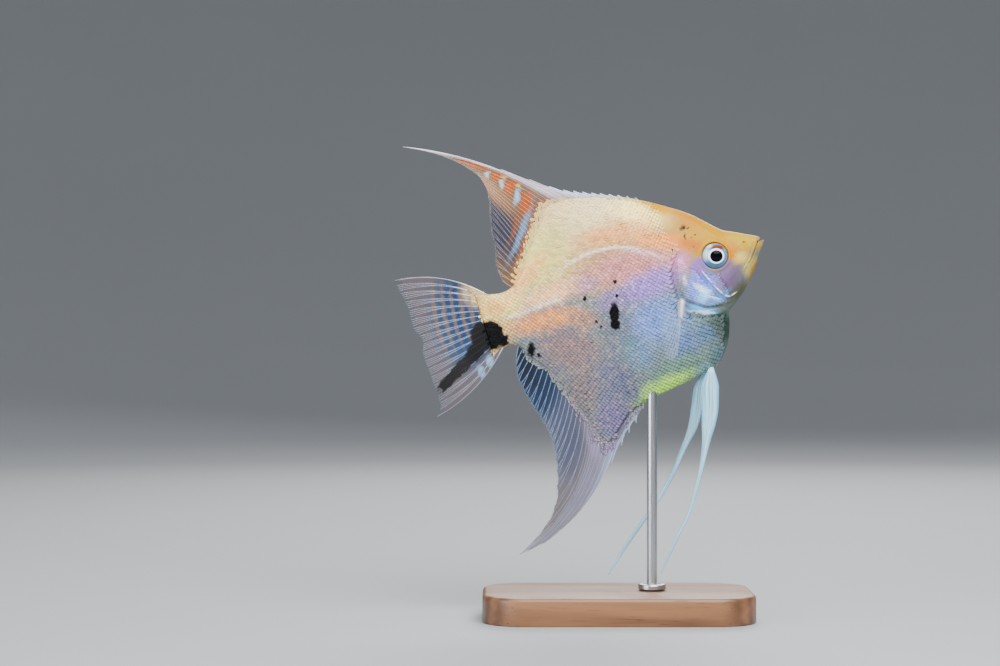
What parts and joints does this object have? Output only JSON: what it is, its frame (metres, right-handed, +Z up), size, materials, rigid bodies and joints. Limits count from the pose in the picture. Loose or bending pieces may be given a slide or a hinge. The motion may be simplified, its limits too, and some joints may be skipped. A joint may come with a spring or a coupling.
{
  "type": "freshwater angelfish model on a display stand",
  "caption": "Life-size still model of a pale gold and blue freshwater angelfish with long swept fins and thread-like feelers, held nose-up on a rod above a flat base.",
  "frame": {"origin": "centre of the base's flat underside", "axes": "+X towards the fish's nose, +Y towards its left flank, +Z up"},
  "size_m": [0.1072, 0.0448, 0.1363],
  "materials": {
    "body_skin": "pearly scaled skin, satin wet gloss",
    "head_skin": "smooth golden skin, satin wet gloss",
    "jaw_skin": "smooth yellow skin, satin",
    "gill_plate": "bright silvery blue plate, glossy",
    "dorsal_fin_web": "thin web with orange bars, satin",
    "anal_fin_web": "thin blue and lavender web, satin",
    "tail_fin_web": "thin blue rayed web with a dark band, satin",
    "feeler_silk": "silky pale blue-white, satin",
    "clear_fin_web": "nearly clear web, satin",
    "eye_gloss": "wet gloss",
    "base_wood": "dark walnut, satin varnish",
    "rod_steel": "fine brushed"
  },
  "bodies": {
    "root": {"head": "head_skin", "lower_jaw": "jaw_skin", "gill_cover_left": "gill_plate", "gill_cover_right": "gill_plate", "trunk": "body_skin", "tail_stem": "body_skin", "dorsal_fin": "dorsal_fin_web", "anal_fin": "anal_fin_web", "caudal_fin": "tail_fin_web", "pelvic_fin_left": "feeler_silk", "pelvic_fin_right": "feeler_silk", "pectoral_fin_left": "clear_fin_web", "pectoral_fin_right": "clear_fin_web", "eye_left": "eye_gloss", "eye_right": "eye_gloss", "stand_base": "base_wood", "stand_rod": "rod_steel"}
  },
  "joints": []
}
